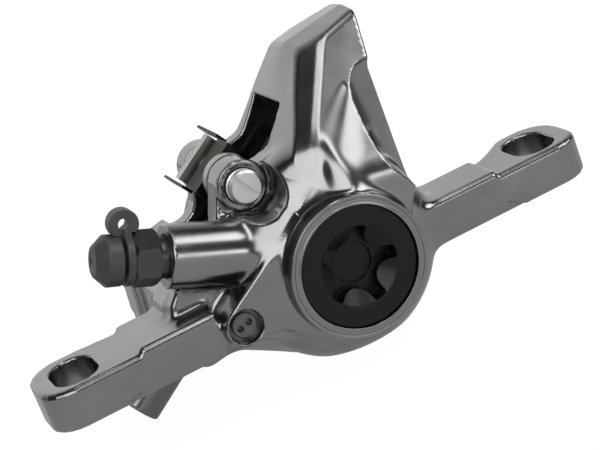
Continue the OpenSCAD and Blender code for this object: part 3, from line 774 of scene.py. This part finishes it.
def plain(name, colour, low, high, scale=1500.0, depth=4e-6, patch=0.15):
    """Rubber, resin or paint: matt skin with fine grain"""
    material, nodes, links, shader = new_material(name)
    where = place_in(nodes)
    slow = noise(nodes, links, where, 220.0, 4.0)
    tone = two_tone(nodes, links, slow, shade(colour, 1 - patch), shade(colour, 1 + patch))
    links.new(tone, shader.inputs["Base Color"])
    links.new(span(nodes, links, noise(nodes, links, where, 400.0), low, high), shader.inputs["Roughness"])
    bumped(nodes, links, shader, noise(nodes, links, where, scale, 3.0), 0.5, depth)
    return material


def lining_finish(name, colour):
    """Resin lining: dark binder with bright metal flecks"""
    material, nodes, links, shader = new_material(name)
    where = place_in(nodes)
    cells = nodes.new("ShaderNodeTexVoronoi")
    cells.inputs["Scale"].default_value = 3200.0
    links.new(where, cells.inputs["Vector"])
    pick = nodes.new("ShaderNodeSeparateColor")
    links.new(cells.outputs["Color"], pick.inputs["Color"])
    fleck = span(nodes, links, pick.outputs["Red"], 0.0, 1.0, (0.86, 0.9))
    fleck_colour = (0.45, 0.4, 0.34)
    tone = two_tone(nodes, links, fleck, colour, fleck_colour, (0.0, 1.0))
    links.new(tone, shader.inputs["Base Color"])
    links.new(fleck, shader.inputs["Metallic"])
    shader.inputs["Roughness"].default_value = 0.7
    bumped(nodes, links, shader, noise(nodes, links, where, 2600.0, 4.0), 0.8, 1.5e-5)
    return material


def tint(label, description, colour):
    """Colour property of the panel"""
    return FloatVectorProperty(name=label, description=description, default=colour, subtype="COLOR", size=3)


class CaliperSizes(PropertyGroup):
    mesh_step: FloatProperty(
        name="Mesh step", description="Size of a mesh cell on the body", default=0.35, min=0.25, max=1.5
    )


class CaliperColours(PropertyGroup):
    body: tint("Body", "Anodised body", (0.28, 0.28, 0.286))
    cap: tint("Bore cap", "Black anodised cap", (0.03, 0.03, 0.032))
    bright: tint("Axle", "Turned steel axle", (0.75, 0.75, 0.76))
    plate: tint("Pad plates", "Rolled steel plate", (0.5, 0.48, 0.45))
    rubber: tint("Rubber", "Bleed cap and strap", (0.05, 0.05, 0.053))
    nipple: tint("Nipple", "Black oxide steel", (0.09, 0.09, 0.095))


# Operators, one for each piece or group of like pieces. Mesh cells are in millimetres.

CAP_STEP = 0.16
STRAP_STEP = 0.13


class CALIPER_OT_body(Operator):
    """Builds the one-piece body from its signed distance"""

    bl_idname = "caliper.body"
    bl_label = "Caliper body"

    def execute(self, context):
        sizes = context.scene.caliper_sizes
        step = sizes.mesh_step
        points, quads, normals = carve(body_field, BODY_LOW, BODY_HIGH, step)
        finish = metal("satin_body", context.scene.caliper_colours.body, 0.18, 0.24)
        rear = points[quads[:, 0], 1] > DISC_Y
        for name, part in (("body_outboard", ~rear), ("body_inboard", rear)):
            used, faces = np.unique(quads[part], return_inverse=True)
            faces = faces.reshape(-1, 4)
            half, replaced = points[used], ("caliper_body",)
            add_piece(name, half, faces, "caliper", finish, normals[used], replaced)
        bore, groove_in, groove_out = CAP_R + 0.05, 9.5, 9.66
        ring = [(bore, 1.2), (bore, 0.0), (CAP_R + 0.3, 0.0), (CAP_R + 0.36, 0.06)]
        ring = ring + [(groove_in, 0.06), (groove_in + 0.03, 0.16)]
        ring = ring + [(groove_out - 0.03, 0.16), (groove_out, 0.06)]
        ring = ring + [(RING_R - 0.1, 0.0), (RING_R, 0.2), (RING_R + 0.01, 1.4), (bore, 1.4)]
        profile = turned_profile(ring, [0, 0.05, 0.05, 0.05, 0.03, 0.03, 0.03, 0.03, 0.18, 0.1, 0, 0])
        rows, faces = lathe(profile + np.array([0.0, RING_Y]), 256)
        bright = turned_metal("turned_ring", context.scene.caliper_colours.body, 0.18, 0.3, BORE_AXIS)
        add_piece("bore_ring", to_y(rows, BORE_AXIS), faces, "caliper", bright)
        inner, outer = AXLE_SEAT_R, AXLE_BOSS_R + 0.02
        rim = [(inner, 0.9), (inner, 0.12), (inner + 0.12, 0.0), (AXLE_BOSS_R - 0.25, 0.0)]
        rim = rim + [(outer, 0.27), (outer, 0.9)]
        rows, faces = lathe(turned_profile(rim, [0, 0.06, 0.06, 0.25, 0.25, 0]), 96)
        add_piece("axle_rim", to_y(rows, AXLE_AXIS), faces, "caliper", bright)
        return {"FINISHED"}


def cap_field(x, y, z):
    """Signed distance to the bore cap's visible half: a disc with a five-lobed socket"""
    lobes, socket_r, socket_deep = 5, 5.65, 2.75
    bump_at, bump_r = 5.9, 2.5
    floor_r, floor_deep = 2.9, 3.2
    cone_r, cone_deep, cone_slope = 5.75, 1.5, 1.5
    u, v = x - BORE_X, z - BORE_Z
    r = np.hypot(u, v)
    disc = round_common(r - CAP_R, -(y - CAP_Y), 0.3)
    disc = np.maximum(disc, y - (CAP_Y + CAP_DISC_DEEP))
    turn = np.arctan2(v, u) - math.radians(33.3)
    share = 2 * np.pi / lobes
    near = (turn + share / 2) % share - share / 2
    bump = np.hypot(r * np.cos(near) - bump_at, r * np.sin(near)) - bump_r
    socket = np.maximum(round_common(r - socket_r, -bump, 0.5), y - (CAP_Y + socket_deep))
    floor = np.maximum(r - floor_r, y - (CAP_Y + floor_deep))
    cone = (r - cone_r + (y - CAP_Y) * cone_slope) * 0.55
    cone = np.maximum(cone, y - (CAP_Y + cone_deep))
    hollow = np.minimum(np.minimum(socket, floor), cone)
    return round_common(disc, -hollow, 0.1)


class CALIPER_OT_bore_cap(Operator):
    """Builds the bore cap with its five-lobed socket"""

    bl_idname = "caliper.bore_cap"
    bl_label = "Bore cap"

    def execute(self, context):
        colours = context.scene.caliper_colours
        step = CAP_STEP
        high = (CAP_HIGH[0], CAP_Y + CAP_MESH_DEEP, CAP_HIGH[2])
        points, quads, normals = carve(cap_field, CAP_LOW, high, step)
        finish = turned_metal("black_cap", colours.cap, 0.3, 0.42, BORE_AXIS)
        add_piece("cap_disc", points, quads, "caliper", finish, normals, ("bore_cap",))
        return {"FINISHED"}


def strap_field(x, y, z):
    """Signed distance to the strap: a collar, and an eye whose two legs stand side by side"""
    c, s = math.cos(NIPPLE_TILT), math.sin(NIPPLE_TILT)
    out = -(x - NIPPLE_AT[0]) * c + (z - NIPPLE_AT[2]) * s
    up = (x - NIPPLE_AT[0]) * s + (z - NIPPLE_AT[2]) * c
    side = y - NIPPLE_AT[1]
    r = np.hypot(up, side)
    collar = round_common(np.maximum(r - 3.65, 1.95 - r), slab(out, 4.8, 5.9), 0.12)
    eye = np.hypot(out - 5.85, up - 5.0) - 2.1
    legs = np.maximum(slab(out, 4.55, 7.15), slab(up, 2.4, 4.4))
    eye = smooth_union(eye, legs, 0.8)
    hole = np.hypot(out - 5.95, up - 5.1) - 0.72
    hole = smooth_union(hole, np.maximum(slab(out, 5.92, 6.38), slab(up, 2.0, 5.0)), 0.5)
    eye = round_common(np.maximum(eye, -hole), np.abs(side) - 1.15, 0.15)
    eye = np.maximum(eye, 3.66 - np.where(out > 6.0, r, 9.0))
    eye = np.maximum(eye, 4.1 - np.where(out < 4.8, r, 9.0))
    return np.minimum(collar, eye)


class CALIPER_OT_bleed_cap(Operator):
    """Builds the rubber cap of the bleed nipple and its strap"""

    bl_idname = "caliper.bleed_cap"
    bl_label = "Bleed cap and strap"

    def execute(self, context):
        finish = plain("cap_rubber", context.scene.caliper_colours.rubber, 0.36, 0.5, 2200.0, 6e-6)
        shell = [(2.55, 9.0), (2.55, 6.4), (3.55, 6.4), (3.6, 8.45), (2.15, 10.02), (0.02, 10.1), (0.02, 9.0)]
        rows, faces = lathe(turned_profile(shell, [0, 0.1, 0.15, 0.3, 0.3, 0, 0]), 96)
        replaced = ("bleed_cap",)
        add_piece("rubber_cap", to_nipple(rows), faces, "bleed_cap", finish, None, replaced)
        low, high = node_box("bleed_cap_strap")
        points, quads, normals = carve(strap_field, low, high, STRAP_STEP)
        replaced = ("bleed_cap_strap",)
        add_piece("rubber_strap", points, quads, "bleed_nipple", finish, normals, replaced)
        return {"FINISHED"}


class CALIPER_OT_frame_finishes(Operator):
    """Gives the frame's own solids their finishes"""

    bl_idname = "caliper.frame_finishes"
    bl_label = "Finishes of the inner pieces"

    def execute(self, context):
        colours = context.scene.caliper_colours
        rubber = plain("seal_rubber", (0.03, 0.03, 0.03), 0.5, 0.65)
        resin = plain("piston_resin", (0.72, 0.7, 0.66), 0.35, 0.5, 900.0, 3e-6, 0.06)
        insulator = plain("insulator_resin", (0.55, 0.52, 0.46), 0.5, 0.65, 700.0, 5e-6, 0.1)
        lining = lining_finish("pad_lining", (0.13, 0.12, 0.11))
        plate = metal("pad_plate", colours.plate, 0.3, 0.42, 2500.0, 3e-6)
        spring = metal("spring_black", (0.03, 0.03, 0.03), 0.3, 0.42, 2500.0, 3e-6)
        axle = turned_metal("axle_steel", colours.bright, 0.34, 0.44, AXLE_AXIS)
        clip = metal("clip_steel", (0.06, 0.06, 0.065), 0.3, 0.4, 2500.0, 2e-6)
        ring = turned_metal("ring_metal", (0.62, 0.6, 0.55), 0.25, 0.35, AXLE_AXIS)
        nipple = metal("nipple_oxide", colours.nipple, 0.32, 0.44, 3000.0, 3e-6)
        plug = turned_metal("plug_steel", (0.16, 0.16, 0.165), 0.25, 0.38, PORT_AXIS)
        for finish, names in (
            (rubber, ("bore_cap_seal", "outer_piston_seal", "inner_piston_seal", "port_plug_seal")),
            (resin, ("outer_piston", "inner_piston")),
            (insulator, ("outer_piston_insulator", "inner_piston_insulator")),
            (lining, ("outer_pad_lining", "inner_pad_lining")),
            (plate, ("outer_pad_plate", "inner_pad_plate")),
            (spring, ("pad_spring",)),
            (axle, ("pad_axle",)),
            (clip, ("pad_axle_clip",)),
            (ring, ("inner_axle_ring",)),
            (nipple, ("bleed_nipple",)),
            (plug, ("port_plug",)),
        ):
            for name in names:
                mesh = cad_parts[name].data
                mesh.materials.clear()
                mesh.materials.append(finish)
        return {"FINISHED"}


# Studio. Strengths of 1 are white, and lengths are in metres.

SOFT_COLOUR = (0.96, 0.98, 1.0)
SOFT_STRENGTH = 0.14
ROOM_TONE = 0.05
ROOM_TO_WHITE = (0.3, 0.95)
FLOOR_TONE = 0.6
FLOOR_GLOW = 1.14
FLOOR_WHITE_SEEN = 0.85
FLOOR_WHITE_MIRRORED = 0.2
FLOOR_HALF = 3.0
FLOOR_GAP = 0.0002
MIDDLE = (0.0, 0.005, 0.003)

# Name, place, target, width, height and radiance
LAMPS = (
    ("left_softbox", (-0.42, -0.90, 0.62), MIDDLE, 1.0, 0.85, 2.4),
    ("right_softbox", (0.91, -0.41, 0.66), MIDDLE, 0.7, 0.7, 3.3),
    ("front_strip", (0.46, -1.10, 0.08), MIDDLE, 0.32, 0.2, 3.4),
    ("top_strip", (0.30, -0.38, 1.10), (0.30, 0.005, 0.003), 0.2, 1.4, 3.8),
)


def matrix_of(side, up, back, place):
    """Matrix of an object from its axes and its place"""
    turn = np.eye(4)
    turn[:3, 0], turn[:3, 1], turn[:3, 2], turn[:3, 3] = side, up, back, place
    return Matrix(turn.tolist())


def softbox(name, place, target, width, height, radiance):
    """Area lamp that faces a point; its power is radiance times pi times its area"""
    lamp = bpy.data.lights.new(name, "AREA")
    lamp.shape = "RECTANGLE"
    lamp.size, lamp.size_y = width, height
    lamp.energy = radiance * math.pi * width * height
    holder = bpy.data.objects.new(name, lamp)
    bpy.context.scene.collection.objects.link(holder)
    back = np.subtract(place, target)
    back = back / np.linalg.norm(back)
    side = np.cross((0, 0, 1), back)
    side = side / np.linalg.norm(side)
    holder.matrix_world = matrix_of(side, np.cross(back, side), back, place)


def clear_ray(nodes, links, path):
    """1 for camera and transmission rays, otherwise 0"""
    clear = nodes.new("ShaderNodeMath")
    clear.operation = "MAXIMUM"
    links.new(path.outputs["Is Camera Ray"], clear.inputs[0])
    links.new(path.outputs["Is Transmission Ray"], clear.inputs[1])
    return clear.outputs["Value"]


def mixed(nodes, links, share, first, second):
    """Mix of two shaders by the share of the second"""
    mix = nodes.new("ShaderNodeMixShader")
    links.new(share, mix.inputs["Fac"])
    links.new(first, mix.inputs[1])
    links.new(second, mix.inputs[2])
    return mix.outputs["Shader"]


def background(nodes, colour, strength):
    """Background shader of one colour"""
    node = nodes.new("ShaderNodeBackground")
    node.inputs["Color"].default_value = (*colour, 1)
    node.inputs["Strength"].default_value = strength
    return node


def build_world():
    """World that is white to camera and transmission rays. Glossy rays see it white behind the part and dim
    in front of it, and the others see a soft even light."""
    world = bpy.data.worlds.new("studio")
    world.use_nodes = True
    nodes, links = world.node_tree.nodes, world.node_tree.links
    nodes.clear()
    out = nodes.new("ShaderNodeOutputWorld")
    path = nodes.new("ShaderNodeLightPath")
    white = background(nodes, (1, 1, 1), 1.0)
    soft = background(nodes, SOFT_COLOUR, SOFT_STRENGTH)
    shine = background(nodes, (1, 1, 1), 1.0)
    split = nodes.new("ShaderNodeSeparateXYZ")
    links.new(nodes.new("ShaderNodeTexCoord").outputs["Generated"], split.inputs["Vector"])
    backdrop = two_tone(nodes, links, split.outputs["Y"], (ROOM_TONE,) * 3, (1, 1, 1), ROOM_TO_WHITE)
    links.new(backdrop, shine.inputs["Color"])
    glossy = path.outputs["Is Glossy Ray"]
    mirrored = mixed(nodes, links, glossy, soft.outputs["Background"], shine.outputs["Background"])
    shown = mixed(nodes, links, clear_ray(nodes, links, path), mirrored, white.outputs["Background"])
    links.new(shown, out.inputs["Surface"])
    return world


def floor_material():
    """Pale matt floor, whose own white is added for the rays that show the background"""
    material = bpy.data.materials.new("pale_floor")
    material.use_nodes = True
    nodes, links = material.node_tree.nodes, material.node_tree.links
    nodes.clear()
    out = nodes.new("ShaderNodeOutputMaterial")
    matt = nodes.new("ShaderNodeBsdfDiffuse")
    matt.inputs["Color"].default_value = (FLOOR_TONE, FLOOR_TONE, FLOOR_TONE, 1)
    glow = nodes.new("ShaderNodeEmission")
    glow.inputs["Strength"].default_value = FLOOR_GLOW
    path = nodes.new("ShaderNodeLightPath")
    seen = nodes.new("ShaderNodeMath")
    seen.operation = "MULTIPLY"
    links.new(clear_ray(nodes, links, path), seen.inputs[0])
    seen.inputs[1].default_value = FLOOR_WHITE_SEEN
    share = nodes.new("ShaderNodeMath")
    share.operation = "MULTIPLY_ADD"
    links.new(path.outputs["Is Glossy Ray"], share.inputs[0])
    share.inputs[1].default_value = FLOOR_WHITE_MIRRORED
    links.new(seen.outputs["Value"], share.inputs[2])
    floor = mixed(nodes, links, share.outputs["Value"], matt.outputs["BSDF"], glow.outputs["Emission"])
    links.new(floor, out.inputs["Surface"])
    return material


class CALIPER_OT_stage(Operator):
    """Builds the pale floor, the world and the lamps"""

    bl_idname = "caliper.stage"
    bl_label = "Stage"

    def execute(self, context):
        scene = context.scene
        scene.view_settings.view_transform = "Standard"
        scene.world = build_world()
        floor_z = cad_box[0][2] - FLOOR_GAP
        mesh = bpy.data.meshes.new("floor")
        square = [(-1, -1), (1, -1), (1, 1), (-1, 1)]
        mesh.from_pydata([(u * FLOOR_HALF, v * FLOOR_HALF, floor_z) for u, v in square], [], [(0, 1, 2, 3)])
        floor = bpy.data.objects.new("floor", mesh)
        scene.collection.objects.link(floor)
        mesh.materials.append(floor_material())
        for lamp in LAMPS:
            softbox(*lamp)
        return {"FINISHED"}


# Camera. Its axes and its place, in millimetres, and its focal length come from a fit to measured points.

CAMERA_RIGHT = np.array([0.86674887, -0.36493359, -0.33995569])
CAMERA_DOWN = np.array([-0.428963, -0.19773904, -0.88141364])
CAMERA_AHEAD = np.array([0.25443494, 0.90979269, -0.3279331])
CAMERA_PLACE = np.array([-68.5, -246.3, 93.1])
FOCAL_PIXELS = 1928
WIDTH_PIXELS = 600


class CALIPER_OT_camera(Operator):
    """Places the camera that the photograph's measured points give"""

    bl_idname = "caliper.camera"
    bl_label = "Camera"

    def execute(self, context):
        data = bpy.data.cameras.new("camera")
        data.sensor_width = 36.0
        data.lens = FOCAL_PIXELS / WIDTH_PIXELS * data.sensor_width
        data.clip_start, data.clip_end = 0.01, 20.0
        camera = bpy.data.objects.new("camera", data)
        context.scene.collection.objects.link(camera)
        camera.matrix_world = matrix_of(CAMERA_RIGHT, -CAMERA_DOWN, -CAMERA_AHEAD, CAMERA_PLACE * MM)
        context.scene.camera = camera
        return {"FINISHED"}


class CALIPER_PT_panel(Panel):
    """Lists the caliper's pieces in the sidebar"""

    bl_label = "Disc brake caliper"
    bl_idname = "CALIPER_PT_panel"
    bl_space_type = "VIEW_3D"
    bl_region_type = "UI"
    bl_category = "Caliper"

    def draw(self, context):
        for group in (context.scene.caliper_sizes, context.scene.caliper_colours):
            for name in group.__annotations__:
                self.layout.prop(group, name)
        for step in STEPS:
            self.layout.operator(step.bl_idname)


STEPS = (
    CALIPER_OT_body,
    CALIPER_OT_bore_cap,
    CALIPER_OT_bleed_cap,
    CALIPER_OT_frame_finishes,
    CALIPER_OT_stage,
    CALIPER_OT_camera,
)
CLASSES = (CaliperSizes, CaliperColours, *STEPS, CALIPER_PT_panel)


def register():
    for item in CLASSES:
        bpy.utils.register_class(item)
    bpy.types.Scene.caliper_sizes = PointerProperty(type=CaliperSizes)
    bpy.types.Scene.caliper_colours = PointerProperty(type=CaliperColours)


def unregister():
    del bpy.types.Scene.caliper_colours
    del bpy.types.Scene.caliper_sizes
    for item in reversed(CLASSES):
        bpy.utils.unregister_class(item)


def main():
    """Builds everything in order"""
    register()
    for step in STEPS:
        group, name = step.bl_idname.split(".")
        getattr(getattr(bpy.ops, group), name)()


if __name__ == "__main__":
    main()
